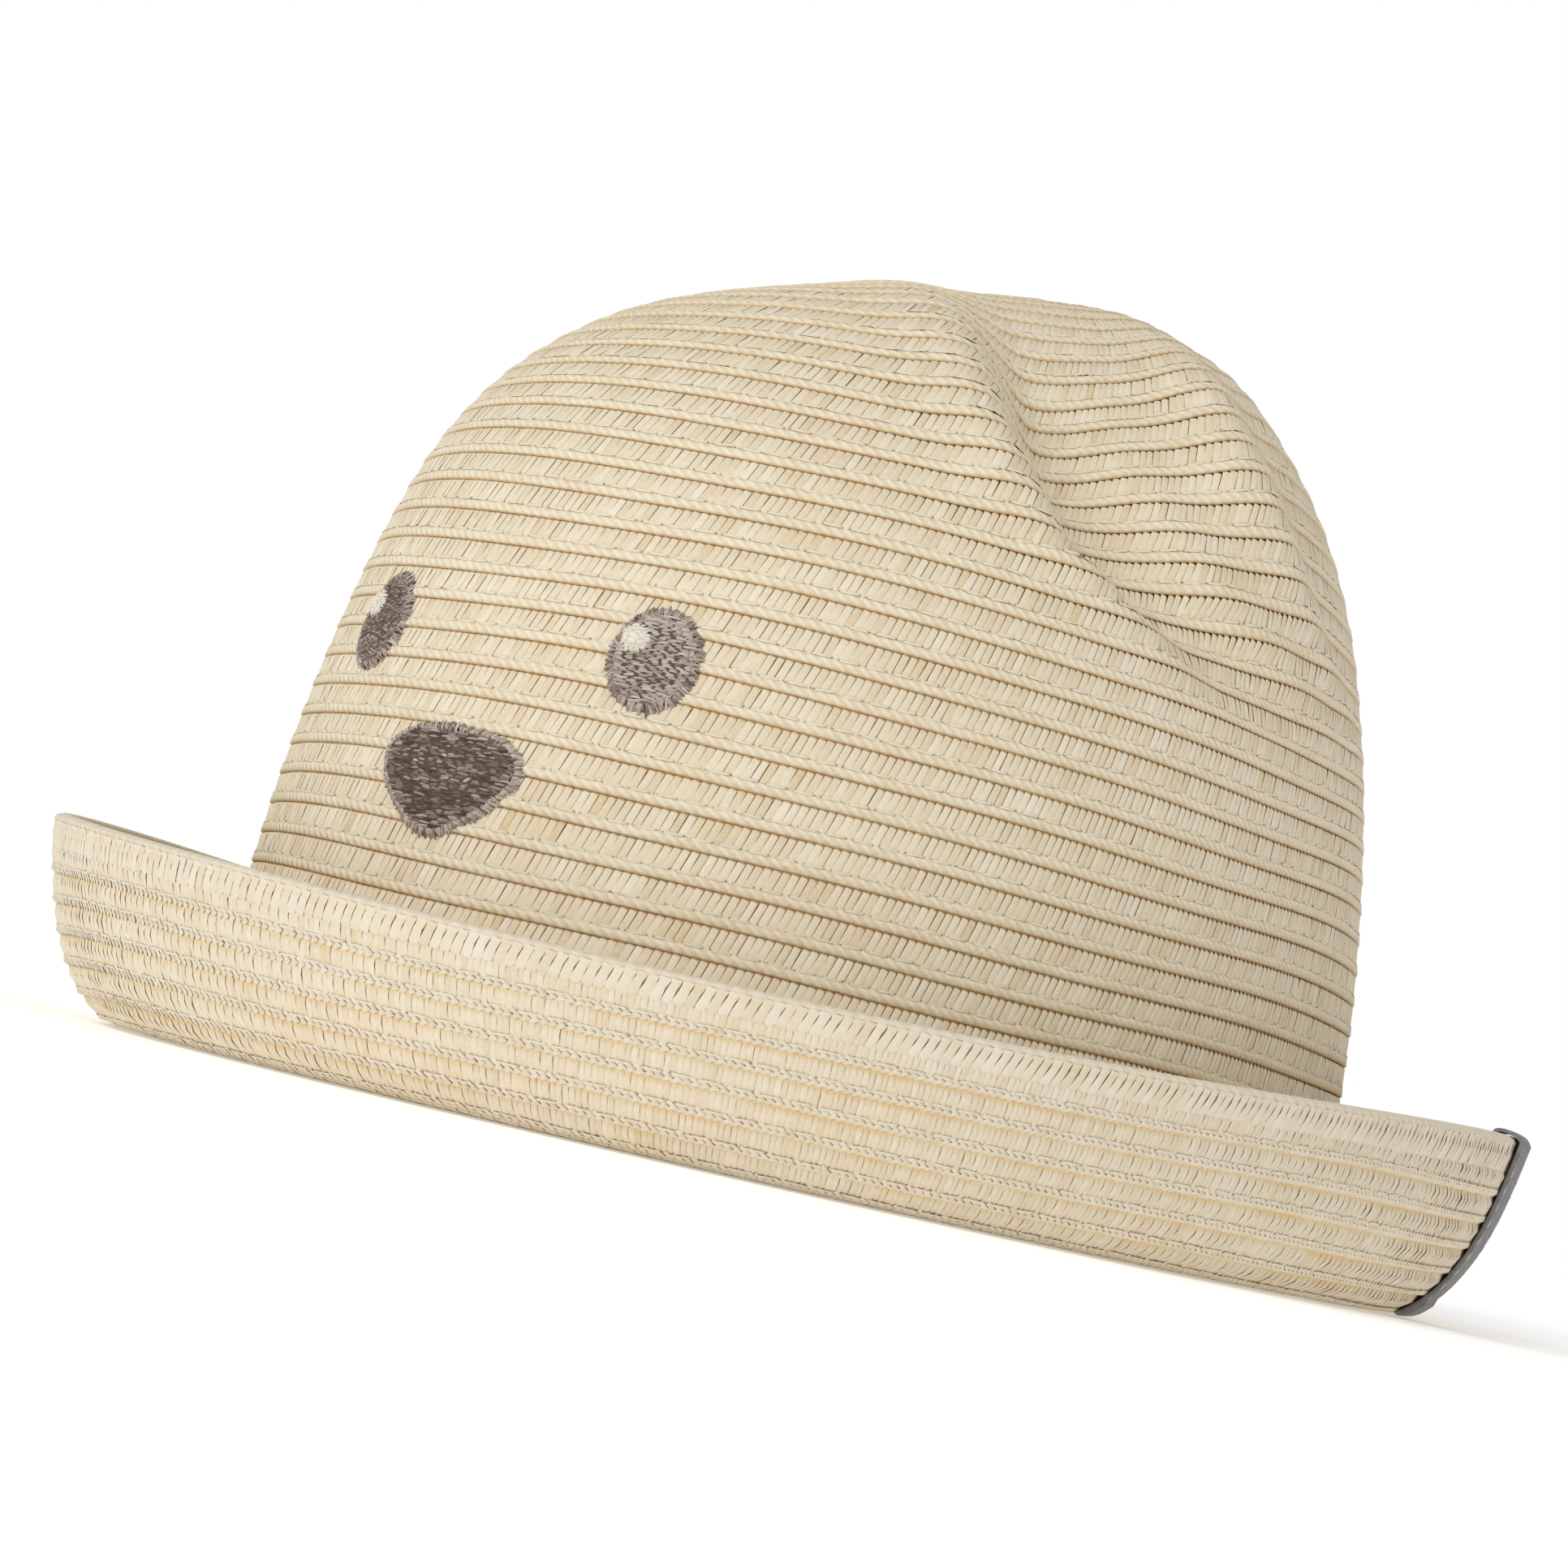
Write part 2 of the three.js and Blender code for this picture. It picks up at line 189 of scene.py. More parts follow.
def paper_braid(name, shades, gap_shade_colour, twisted=False):
    """Matt twisted paper: a shade of its own on each strand, fine fibres, ochre painted into the gaps and
    under the overlapping rows as painted shade, and slanted ridges where it is twisted to a rope."""
    material, tree = new_material(name)
    place = node(tree, "ShaderNodeTexCoord").outputs["Object"]
    fibres = node(tree, "ShaderNodeTexNoise", Vector=place, Scale=1000 / FIBRE, Detail=4.0)
    patches = node(tree, "ShaderNodeTexNoise", Vector=place, Scale=1000 / PATCH, Detail=3.0)
    own_shade = node(tree, "ShaderNodeAttribute", {"attribute_name": "shade"}).outputs["Fac"]
    shade = node(tree, "ShaderNodeMath", SUM, i0=fibres, i1=FIBRE_TONE, i2=own_shade)
    shade = node(tree, "ShaderNodeMath", SUM, i0=patches, i1=PATCH_TONE, i2=shade)
    relief = fibres
    if twisted:
        twist = node(tree, "ShaderNodeAttribute", {"attribute_name": "twist"}).outputs["Fac"]
        # The twist's crests are painted lighter and its grooves darker, as painted light and shade
        ridges = node(tree, "ShaderNodeMath", {"operation": "SINE"}, i0=twist)
        shade = node(tree, "ShaderNodeMath", SUM, i0=ridges, i1=RIDGE_PAINTED_SHADE, i2=shade)
        relief = node(tree, "ShaderNodeMath", SUM, i0=ridges, i1=RIDGE_RELIEF, i2=fibres)
    mean_shift = (FIBRE_TONE + PATCH_TONE) / 2
    centred = node(tree, "ShaderNodeMath", {"operation": "SUBTRACT"}, i0=shade, i1=mean_shift)
    colour = node(tree, "ShaderNodeValToRGB", {"stops": shades}, Fac=centred)
    deep = node(tree, "ShaderNodeAttribute", {"attribute_name": "deep"}).outputs["Fac"]
    painted_gaps = node(tree, "ShaderNodeMix", {"data_type": "RGBA"}, i0=deep, i6=colour, i7=linear(gap_shade_colour))
    bump = node(tree, "ShaderNodeBump", Strength=0.4, Distance=FIBRE_HEIGHT / 1000, Height=relief)
    rough = node(tree, "ShaderNodeMapRange", Value=fibres, To_Min=0.6, To_Max=0.85)
    skin = node(tree, "ShaderNodeBsdfPrincipled", Base_Color=painted_gaps.outputs["Result"], Normal=bump,
                Roughness=rough, Specular_IOR_Level=0.3)
    node(tree, "ShaderNodeOutputMaterial", Surface=skin)
    return material


def add_piece(name, points, quads, material, slot, **marks):
    """A mesh in millimetres as an object that rides on the hat; marks are values at its points."""
    mesh = bpy.data.meshes.new(name)
    points = np.asarray(points).reshape(-1, 3) / 1000
    mesh.from_pydata(points.astype(np.float32), [], np.asarray(quads).reshape(-1, 4))
    for key, values in marks.items():
        made = mesh.attributes.new(key, "FLOAT", "POINT")
        made.data.foreach_set("value", np.ascontiguousarray(values, np.float32).ravel())
    mesh.shade_smooth()
    mesh.materials.append(material)
    piece = bpy.data.objects.new(name, mesh)
    bpy.context.scene.collection.objects.link(piece)
    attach(piece, "root")
    return piece


def grid_quads(rows, columns, closed_rows=False, closed_columns=False):
    """Faces over a grid of points that is stored row by row."""
    row, column = np.meshgrid(np.arange(rows - (not closed_rows)),
                              np.arange(columns - (not closed_columns)), indexing="ij")
    next_row, next_column = (row + 1) % rows, (column + 1) % columns
    quads = np.stack([row * columns + column, next_row * columns + column,
                      next_row * columns + next_column, row * columns + next_column], -1)
    return quads.reshape(-1, 4)


chance = np.random.default_rng(7)


def uneven(amount, *shape):
    """Small differences of hand work."""
    return amount * chance.standard_normal(shape)


# Sections of a ribbon: across, share of the sink
ROUND = np.array([(-1, 1), (0, 0), (1, 1)])
FLAT = np.array([(-1, 0), (1, 0)])
LEAST_RADIUS = 2.5  # nearer to the apex a shift along the row would turn too far


def ribbons(length, turn, height, half_width, side, sink, section=ROUND):
    """Points and faces of many small ribbons on the wall, each a row of places along its middle.
    side is 1 on the crown's outside and -1 on the wall's other face."""
    radius = np.maximum(radius_at(length), LEAST_RADIUS)
    first = turn[:, :1]
    x, y = np.radians(turn - first) * radius, -length
    way_x, way_y = np.gradient(x, axis=1), np.gradient(y, axis=1)
    size = np.hypot(way_x, way_y)
    across, drop = section.T
    wide = half_width[..., None] * across
    new_length = -(y[..., None] + wide * (way_x / size)[..., None])
    new_x = x[..., None] - wide * (way_y / size)[..., None]
    new_turn = first[..., None] + np.degrees(new_x / radius[..., None])
    points = wall(new_length, new_turn, side * (WALL / 2 + height[..., None] - sink * drop))
    count, along, broad = points.shape[:3]
    one = grid_quads(along, broad)[:, ::side]
    return points, one[None] + (np.arange(count) * along * broad)[:, None, None]


# How much strands differ: shift, height, share of the width, tone. The painted shade in the gaps comes and
# goes in runs.
STRAND_SINK, APEX_CLEAR = 0.12, 0.3
SHIFT_SPREAD, HEIGHT_SPREAD, WIDTH_SPREAD, TONE_SPREAD = 0.025, 0.03, 0.035, 0.08
TONE_RANGE, PAINTED_SHADE_MEAN, PAINTED_SHADE_RUN, PAINTED_SHADE_RANGE = (0.05, 0.95), 0.8, 12, (0.35, 1.1)


def strands(edge, turn, shape, side=1, extra=0.0, middle=0.5, stretch=1.0):
    """One ribbon of braid at each edge and degrees. The columns of shape are the distance up from
    the row's edge, the height, the half width, the shift along the row and the painted shade in its
    gaps and under the row above."""
    up, rise, half, shift, painted_shade = shape.T
    count = len(turn)
    length = np.reshape(edge, (-1, 1)) - side * up * np.reshape(stretch, (-1, 1))
    length = np.maximum(length, APEX_CLEAR)
    shift = shift + uneven(SHIFT_SPREAD, count, len(up))
    around = turn[:, None] + np.degrees(shift / np.maximum(radius_at(length), LEAST_RADIUS))
    height = rise + extra + uneven(HEIGHT_SPREAD, count, len(up))
    half = half * (1 + uneven(WIDTH_SPREAD, count, 1))
    points, quads = ribbons(length, around, height, half, side, STRAND_SINK)
    tone = np.clip(middle + uneven(TONE_SPREAD, count), *TONE_RANGE)
    shade = np.broadcast_to(tone[:, None, None], points.shape[:3])
    runs = PAINTED_SHADE_MEAN + np.convolve(uneven(1.0, count), np.full(PAINTED_SHADE_RUN, 1 / PAINTED_SHADE_RUN), "same")
    painted_gaps = np.clip(painted_shade * np.clip(runs, *PAINTED_SHADE_RANGE)[:, None], 0, 1)
    return points, quads, shade, np.broadcast_to(painted_gaps[..., None], points.shape[:3])


def add_joined(name, rows, material, slot):
    """One piece of many rows of points, faces, shades, painted gap shades and maybe twists."""
    starts = np.cumsum([0] + [points[..., 0].size for points, *_ in rows])
    points = np.concatenate([row[0].reshape(-1, 3) for row in rows])
    quads = np.concatenate([row[1].reshape(-1, 4) + start for row, start in zip(rows, starts)])
    columns = zip(*(row[2:] for row in rows))
    marks = {key: np.concatenate([part.ravel() for part in column])
             for key, column in zip(("shade", "deep", "twist"), columns)}
    return add_piece(name, points, quads, material, slot, **marks)


# Degrees of the wall's segments, closer together across the dent
DENT_FROM, DENT_TO, DENT_SEGMENTS, OTHER_SEGMENTS = 25.0, 115.0, 58, 56
body_turns = np.concatenate([np.linspace(DENT_FROM, DENT_TO, DENT_SEGMENTS, endpoint=False),
                             np.linspace(DENT_TO, DENT_FROM + 360, OTHER_SEGMENTS, endpoint=False)])
WALL_TONE, WALL_SPREAD, FACE_PAINTED_SHADE, INSIDE_PAINTED_SHADE = 0.45, 0.1, 0.8, 0.15


def wall_body(name, outer_lengths, inner_lengths, outer_rise, inner_rise, closed, material, slot):
    """The wall under the strands: one face down from its first edge and the other back up. A rise
    is how far a face stands off the wall's. Its outer face is painted with ochre shade, which shows as
    painted shadow in the slits between strands; an open wall has a bare inside with less of it."""
    outer = wall(outer_lengths[:, None], body_turns, WALL / 2 + outer_rise)
    inner = wall(inner_lengths[:, None], body_turns, -WALL / 2 - inner_rise)[::-1]
    rings = np.concatenate([outer, inner])
    quads = grid_quads(len(rings), len(body_turns), closed_rows=closed, closed_columns=True)
    shade = WALL_TONE + uneven(WALL_SPREAD, *rings.shape[:2])
    deep = np.full(rings.shape[:2], FACE_PAINTED_SHADE)
    if not closed:
        deep[len(outer):] = INSIDE_PAINTED_SHADE
    return add_piece(name, rings, quads, material, slot, shade=shade, deep=deep)


head_length = length_at(HEAD_LINE)
row_pitch = head_length / CROWN_ROWS
CROWN_SHADES = ((0.0, "#CEB588"), (0.3, "#E3D2B1"), (0.55, "#EDE1C8"), (0.8, "#F4ECD9"), (1.0, "#F8F3E6"))
# Ochre painted into the gaps and under each row's overlap, as painted shade
CROWN_GAP_SHADE = "#BA8C3A"
crown_paper = paper_braid("twisted_paper_crown", CROWN_SHADES, CROWN_GAP_SHADE)
APEX, DENT_LENGTH, UPPER_RINGS, LOWER_RINGS = 0.02, 112.0, 34, 12
CROWN_RISE, INNER_STEP = 0.1, 0.35
DENT_SINK, DENT_SINK_FULL = 0.25, 4.0  # the wall keeps further under the strands where the dent bends
NEAR_RINGS, NEAR_SEGMENTS = 1, 4
crown_outer = np.concatenate([np.linspace(APEX, DENT_LENGTH, UPPER_RINGS, endpoint=False),
                              np.linspace(DENT_LENGTH, head_length, LOWER_RINGS)])
crown_inner = np.linspace(APEX, head_length, 2 * CROWN_ROWS)
crown_heights = np.interp(crown_outer, path_length, path[:, 1])[:, None]
dent = np.abs(dent_depth(body_turns, radius_at(crown_outer)[:, None], crown_heights))
dent_near = [np.roll(dent, (i, j), (0, 1)) for i in range(-NEAR_RINGS, NEAR_RINGS + 1)
             for j in range(-NEAR_SEGMENTS, NEAR_SEGMENTS + 1)]
outer_rise = CROWN_RISE - DENT_SINK * np.minimum(np.max(dent_near, axis=0), DENT_SINK_FULL)
inner_steps = INNER_STEP * (np.arange(2 * CROWN_ROWS) % 2)[:, None]
crown_wall = wall_body("crown_wall", crown_outer, crown_inner, outer_rise, inner_steps, False, crown_paper,
                       "crown_braid")
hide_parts("crown")

# The spiral of the braid: its turns from the apex, at even steps along it
FIRST_TURN, LAST_TURN, FADE_TURNS, FINE_STEPS = 0.3, CROWN_ROWS + 0.95, 0.9, 60000
WAVER, SLOW_WAVES, FAST_WAVES, FAST_SHARE = 0.3, 3.06, 7.09, 0.6  # of a row's edge; waves to a turn
fine_turns = np.linspace(FIRST_TURN, LAST_TURN, FINE_STEPS)
fine_steps = 2 * np.pi * radius_at(fine_turns[1:] * row_pitch) * np.diff(fine_turns)
fine_run = np.concatenate([[0], np.cumsum(fine_steps)])


def spiral(step, start=0.0):
    """Turns at even steps along the braid."""
    return np.interp(np.arange(start, fine_run[-1], step), fine_run, fine_turns)


def row_edge(turns):
    """Lower edge of the braid at its turns, which waver a little as hand sewing does."""
    angle = 2 * np.pi * turns
    waves = np.sin(SLOW_WAVES * angle) + FAST_SHARE * np.sin(FAST_WAVES * angle + 1)
    return turns * row_pitch + WAVER * waves


def ending(turns):
    """0 along the braid, and down to -1 over its last turn, which sinks away into the brim."""
    return np.clip((LAST_TURN - turns) / FADE_TURNS, 0, 1)[:, None] - 1


# A flat slanted strand, from the rope edge of its row up to where it dives under the row above:
# up, height, half width, shift along the row, painted shade (full where it dives under the row above)
STRAND_PITCH, STRAND_FADE = 1.2, 0.6
CROWN_STRAND = np.array([
    (1.55, 0.50, 0.57, -0.32, 0.12),
    (row_pitch - 0.38, 0.55, 0.52, 0.55, 0.10),
    (row_pitch + 0.06, 0.02, 0.46, 0.66, 1.00),
])
turns = spiral(STRAND_PITCH)
stretch = (row_edge(turns) - row_edge(turns - 1)) / row_pitch
row = strands(row_edge(turns), turns * 360, CROWN_STRAND, extra=STRAND_FADE * ending(turns), stretch=stretch)
add_joined("crown_strands", [row], crown_paper, "crown_braid")

# The rope edge: the strands turn back on themselves along the lower edge of each row, which stands
# proud of the row below and shades it. Section: up, height, painted shade under and beside the edge
ROPE = np.array([
    (0.05, -0.10, 1.00),
    (0.00, 0.36, 0.45),
    (0.26, 0.74, 0.00),
    (1.20, 0.70, 0.00),
    (1.66, 0.36, 0.25),
])
ROPE_STEP, APEX_STEPS, TWIST_PITCH, TWIST_SLOPE = 3.4, 18, 1.7, 0.9
ROPE_TONE, ROPE_SPREAD, ROPE_FADE = 0.44, 0.05, 0.8


def rope(edge, turn, run, extra=0.0):
    """Rope edge along a line on the crown's face of the wall; run is the distance along it."""
    up, rise, painted_shade = ROPE.T
    height = rise + extra + uneven(HEIGHT_SPREAD, len(turn), len(up))
    points = wall(np.reshape(edge, (-1, 1)) - up, turn[:, None], WALL / 2 + height)
    shade = ROPE_TONE + uneven(ROPE_SPREAD, *points.shape[:2])
    deep = np.broadcast_to(painted_shade, points.shape[:2])
    twist = 2 * np.pi * (run[:, None] + TWIST_SLOPE * up) / TWIST_PITCH
    return points, grid_quads(len(turn), len(up)), shade, deep, twist


# More steps to a turn near the apex
rope_count = fine_run + ROPE_STEP * APEX_STEPS * fine_turns
turns = np.interp(np.arange(rope_count[0], rope_count[-1], ROPE_STEP), rope_count, fine_turns)
rope_run = np.interp(turns, fine_turns, fine_run)
rope_row = rope(row_edge(turns), turns * 360, rope_run, ROPE_FADE * ending(turns))
crown_rope = paper_braid("twisted_paper_crown_rope", CROWN_SHADES, CROWN_GAP_SHADE, twisted=True)
add_joined("crown_rope_edge", [rope_row], crown_rope, "crown_braid")

# The seam: a pale cotton thread, as matt as the paper, in running stitches above each rope edge, with
# painted shade for a needle hole at both ends. Stitch: along, height, painted hole shade
STITCH = np.array([(-0.5, 0.40, 1.0), (-0.36, 0.64, 0.0), (0.36, 0.64, 0.0), (0.5, 0.40, 1.0)])
SEAM_STITCH, SEAM_PITCH, SEAM_UP, SEAM_HALF = 3.1, 3.7, 1.6, 0.17
SEAM_START, SEAM_TONE, SEAM_WANDER, SEAM_BOB = 30.0, 0.5, 0.05, 0.04
seam_thread = paper_braid("cotton_seam_thread", [
    (0.0, "#CBBEA0"), (0.5, "#E4DAC4"), (1.0, "#F1EBDD")], "#7F6233")


def seam(edge, turn, side=1, up=SEAM_UP):
    """Running stitches along an edge."""
    along, rise, dark = STITCH.T
    shape = (len(turn), len(STITCH))
    edge = np.broadcast_to(np.reshape(edge, (-1, 1)), shape)
    around = turn[:, None] + np.degrees(along * SEAM_STITCH / radius_at(edge))
    length = edge - side * up + uneven(SEAM_WANDER, *shape)
    height = rise + uneven(SEAM_BOB, *shape)
    points, quads = ribbons(length, around, height, np.full(shape, SEAM_HALF), side, 0, FLAT)
    shade = np.full(points.shape[:3], SEAM_TONE)
    return points, quads, shade, np.broadcast_to(dark[:, None], points.shape[:3])


turns = spiral(SEAM_PITCH, SEAM_START)
turns = turns[turns < CROWN_ROWS]
add_joined("crown_seam_stitches", [seam(row_edge(turns), turns * 360)], seam_thread, "crown_braid")

# Brim
# The same braid goes on round the head line, out and up into a roll. Its underside faces out, so
# it shows the braid's other face: a plaited edge and a fine weave on each row, and open slits
# along the last one.

BRIM_ROWS, BRIM_RINGS, HEAD_GAP = 9, 24, 0.3
RIM_ROW, THIN_RIM = 9.0, 2.25  # full width of the braid, which the last row shows; no rise near the rim
TAPE_AT = 114.5
GATHER, GATHER_AT, GATHER_SPREAD = 0.6, 9.0, 9.0  # rows puffed beside the tape: height, degrees
brim_start = head_length + HEAD_GAP
brim_pitch = (full_length - RIM_ROW - brim_start) / BRIM_ROWS
brim_edges = [brim_start + row * brim_pitch for row in range(BRIM_ROWS + 1)]
BRIM_SHADES = ((0.0, "#CDBA94"), (0.3, "#DDD0B6"), (0.55, "#E5DAC5"), (0.8, "#EBE2D3"), (1.0, "#F1EADF"))
# Ochre painted into the gaps and under each row's overlap, as painted shade
BRIM_GAP_SHADE, BRIM_RISE = "#DDBB7B", 0.26
brim_paper = paper_braid("twisted_paper_brim", BRIM_SHADES, BRIM_GAP_SHADE)
brim_rings = np.linspace(brim_start, full_length, BRIM_RINGS)
brim_rise = BRIM_RISE * (brim_rings < full_length - THIN_RIM)[:, None]
brim_wall = wall_body("brim_wall", brim_rings, brim_rings, 0, brim_rise, True, brim_paper, "brim_braid")
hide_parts("brim")

# Strands on the underside: up, height, half width, shift along the row, painted shade in the gaps and under
# the next row
WEAVE = np.array([
    (0.90, 0.50, 0.42, 0.00, 0.30),
    (3.40, 0.64, 0.41, -0.02, 0.05),
    (brim_pitch + 0.15, 0.26, 0.38, -0.06, 0.80),
])
OVER_UNDER = np.array([0.04, -0.05, 0.0])  # every second strand of the weave, the other way on the rest
PLAIT = np.array([
    (-0.25, 0.16, 0.37, -0.74, 0.40),
    (0.74, 0.84, 0.54, 0.52, 0.00),
    (1.46, 0.58, 0.37, -0.52, 0.10),
])
RIM_STRAND = np.array([
    (3.60, 0.45, 0.62, -0.40, 0.05),
    (4.30, 0.64, 0.70, -0.28, 0.00),
    (6.60, 0.64, 0.60, 0.28, 0.05),
    (7.40, 0.48, 0.62, 0.50, 0.20),
    (8.50, 0.40, 0.72, 0.68, 0.00),
])
WEAVE_PITCH, PLAIT_PITCH, RIM_PITCH, BRIM_SEAM_UP = 0.8, 1.15, 1.4, 1.4
PLAIT_TONE, RIM_TONE = 0.53, 0.52
BRIM_SLOW_WAVES, BRIM_FAST_WAVES, WAVE_LAG = 3, 8, 0.1


def ring_turns(edge, pitch):
    """Degrees of evenly spaced places round the hat."""
    count = int(2 * np.pi * radius_at(edge) / pitch)
    return np.arange(count) * 360 / count


def gathered(turn, up):
    """Extra height of a row's belly beside the tape, which gathers the rows."""
    away = np.abs((turn - TAPE_AT + 180) % 360 - 180)
    near = np.exp(-(((away - GATHER_AT) / GATHER_SPREAD) ** 2))
    return GATHER * near[:, None] * np.sin(np.pi * np.clip(up / brim_pitch, 0, 1))


def wavering(edge, turn):
    """Places round an edge of the brim, which wavers as the crown's rows do."""
    angle = np.radians(turn)
    lag = WAVE_LAG * edge
    from_ends = min(edge - brim_start, full_length - edge)
    amount = WAVER * np.clip(from_ends / brim_pitch, 0, 1)
    waves = np.sin(BRIM_SLOW_WAVES * angle + lag) + FAST_SHARE * np.sin(BRIM_FAST_WAVES * angle - lag)
    return edge + amount * waves


weave_rows, plait_rows = [], []
for middle_edge in brim_edges:
    turn = ring_turns(middle_edge, WEAVE_PITCH)
    edge = wavering(middle_edge, turn)
    over = np.where(np.arange(len(turn)) % 2 == 0, 1, -1)[:, None] * OVER_UNDER
    weave_rows.append(strands(edge, turn, WEAVE, side=-1, extra=over + gathered(turn, WEAVE[:, 0])))
    turn = ring_turns(middle_edge, PLAIT_PITCH)
    edge = wavering(middle_edge, turn)
    puffed = gathered(turn, PLAIT[:, 0])
    plait_rows.append(strands(edge, turn, PLAIT, side=-1, extra=puffed, middle=PLAIT_TONE))
add_joined("brim_woven_bands", weave_rows, brim_paper, "brim_braid")
add_joined("brim_plaited_edges", plait_rows, brim_paper, "brim_braid")
turn = ring_turns(full_length, RIM_PITCH)
rim_row = strands(np.full(len(turn), brim_edges[-1]), turn, RIM_STRAND, side=-1, middle=RIM_TONE)
add_joined("brim_rim_row", [rim_row], brim_paper, "brim_braid")
seams = []
for edge in brim_edges[1:]:
    turn = ring_turns(edge, SEAM_PITCH)
    seams.append(seam(wavering(edge, turn), turn, side=-1, up=BRIM_SEAM_UP))
add_joined("brim_seam_stitches", seams, seam_thread, "brim_braid")

# The rim: a rope round the edge of the last row
RIM_UP, RIM_OUT, RIM_BACK, RIM_SIDES, RIM_STEP, RIM_TWIST = 0.75, 1.45, 0.3, 8, 0.7, 2.2
RIM_SWELL, SWELL_PAINTED_LIGHT, RIM_ROPE_TONE, RIM_ROPE_SPREAD = 0.06, 2, 0.48, 0.04
rim_turn = ring_turns(full_length, RIM_STEP)
around = np.arange(RIM_SIDES) * 2 * np.pi / RIM_SIDES
rim_run = np.arange(len(rim_turn))[:, None] * RIM_STEP
swell = 1 + RIM_SWELL * np.cos(around - 2 * np.pi * rim_run / RIM_TWIST)
rim_points = wall(full_length - RIM_BACK + RIM_UP * swell * np.sin(around), rim_turn[:, None],
                  RIM_OUT * swell * np.cos(around))
rim_quads = grid_quads(len(rim_turn), RIM_SIDES, closed_rows=True, closed_columns=True)
# The rope's swells are painted lighter, as painted light
rim_shade = RIM_ROPE_TONE + SWELL_PAINTED_LIGHT * (swell - 1) + uneven(RIM_ROPE_SPREAD, len(rim_turn), 1)
add_joined("brim_rim_rope", [(rim_points, rim_quads, rim_shade, 0 * rim_shade)], brim_paper, "brim_braid")

# The upper face, in the trough beside the crown, has slanted strands and rope edges as the crown has
upper_edges = [*brim_edges[1:], full_length - RIM_ROW / 2, full_length - RIM_UP]
upper_strands, upper_ropes = [], []
for edge in upper_edges:
    turn = ring_turns(edge, STRAND_PITCH)
    upper_strands.append(strands(wavering(edge, turn), turn, CROWN_STRAND[:2]))
    turn = np.append(ring_turns(edge, ROPE_STEP), 360)
    upper_ropes.append(rope(wavering(edge, turn), turn, np.radians(turn) * radius_at(edge)))
add_joined("brim_upper_strands", upper_strands, brim_paper, "brim_braid")
brim_rope = paper_braid("twisted_paper_brim_rope", BRIM_SHADES, BRIM_GAP_SHADE, twisted=True)
add_joined("brim_upper_ropes", upper_ropes, brim_rope, "brim_braid")

# Sweatband
# A grosgrain ribbon, woven with fine upright ribs, that lies flat on the inside of the crown where
# the head goes in. It is sewn in by its lower edge.

BAND_WIDTH, BAND_THICK, BAND_BOTTOM, RIB_PITCH, RIB_DEPTH = 30.0, 1.0, 8.8, 0.9, 0.16
BAND_CLEAR, BAND_LIFT, BAND_RINGS = 0.65, 0.3, 6
RIB_TONE, GROOVE_PAINTED_SHADE = 0.5, 0.4
band_off = -WALL / 2 - BAND_CLEAR
band_bottom = length_at(BAND_BOTTOM) - BAND_LIFT
band_lengths = np.linspace(band_bottom - BAND_WIDTH, band_bottom, BAND_RINGS)
ribs = int(2 * np.pi * radius_at(band_bottom) / RIB_PITCH)
band_turns = np.arange(2 * ribs) * 180 / ribs
groove = np.tile([0.0, RIB_DEPTH], ribs)
band_outer = wall(band_lengths[:, None], band_turns, band_off)
band_inner = wall(band_lengths[::-1, None], band_turns, band_off - BAND_THICK + groove)
band_points = np.concatenate([band_outer, band_inner])
band_quads = grid_quads(len(band_points), 2 * ribs, closed_rows=True, closed_columns=True)
THREAD_TONE, THREAD_HEIGHT = 0.5, 0.2


def woven_cloth(name, shades, thread_mm, sheen):
    """Matt woven cloth: fine uneven threads, painted lighter on the raised ones as painted light.
    They are drawn coarser than real, so that they show."""
    material, tree = new_material(name)
    place = node(tree, "ShaderNodeTexCoord").outputs["Object"]
    threads = node(tree, "ShaderNodeTexNoise", Vector=place, Scale=1000 / thread_mm, Detail=3.0)
    own_shade = node(tree, "ShaderNodeAttribute", {"attribute_name": "shade"}).outputs["Fac"]
    shade = node(tree, "ShaderNodeMath", SUM, i0=threads, i1=THREAD_TONE, i2=own_shade)
    colour = node(tree, "ShaderNodeValToRGB", {"stops": shades}, Fac=shade)
    bump = node(tree, "ShaderNodeBump", Strength=0.35, Distance=THREAD_HEIGHT / 1000, Height=threads)
    skin = node(tree, "ShaderNodeBsdfPrincipled", Base_Color=colour, Roughness=0.85, Normal=bump,
                Sheen_Weight=sheen, Specular_IOR_Level=0.25)
    node(tree, "ShaderNodeOutputMaterial", Surface=skin)
    return material


grosgrain = woven_cloth("beige_grosgrain_ribbon", [
    (0.2, "#97835F"), (0.6, "#B9A588"), (1.0, "#CFBFA4")], thread_mm=1.2, sheen=0.1)
# The grooves between the ribs are painted darker, as painted shade
band_shade = np.broadcast_to(RIB_TONE - GROOVE_PAINTED_SHADE * groove / RIB_DEPTH, band_points.shape[:2])
sweatband = add_piece("sweatband_ribbon", band_points, band_quads, grosgrain, "sweatband", shade=band_shade)
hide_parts("sweatband")

# Side tape
# A narrow grey woven tape, folded over the rim and sewn flat across the rows that show. It is
# pulled tight, so it bridges the grooves between the rows.

